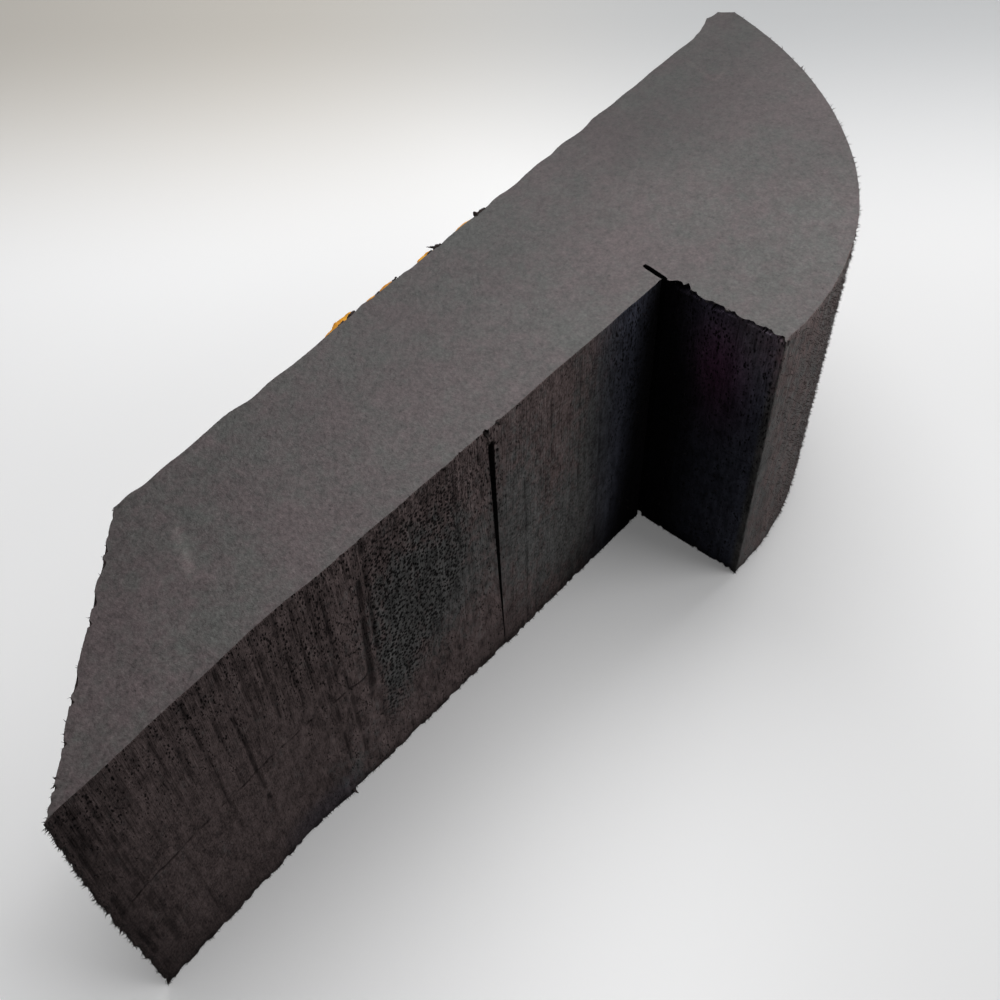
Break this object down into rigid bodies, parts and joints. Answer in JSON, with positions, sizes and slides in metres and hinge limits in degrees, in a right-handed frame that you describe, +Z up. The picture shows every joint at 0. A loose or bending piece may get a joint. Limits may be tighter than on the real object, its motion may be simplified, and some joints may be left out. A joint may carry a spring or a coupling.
{
  "type": "foam block",
  "caption": "Sawn block of dark closed-cell foam: a straight bar with a slanted end, a square notch beside a hooked toe, and a big round end.",
  "frame": {"origin": "middle of the bounding box at the underside", "axes": "+Z up, from the lower skin to the upper one; +X along the back face from the slanted end to the round end; +Y out of the back face"},
  "size_m": [0.2986, 0.0914, 0.1],
  "materials": {
    "foam": "matte charcoal closed-cell polyethylene foam with a smooth skin above and below and sawn, open-celled sides",
    "dried_glue": "dried amber contact glue"
  },
  "bodies": {
    "root": {"foam_block": "foam", "glue_residue": "dried_glue"}
  },
  "joints": []
}
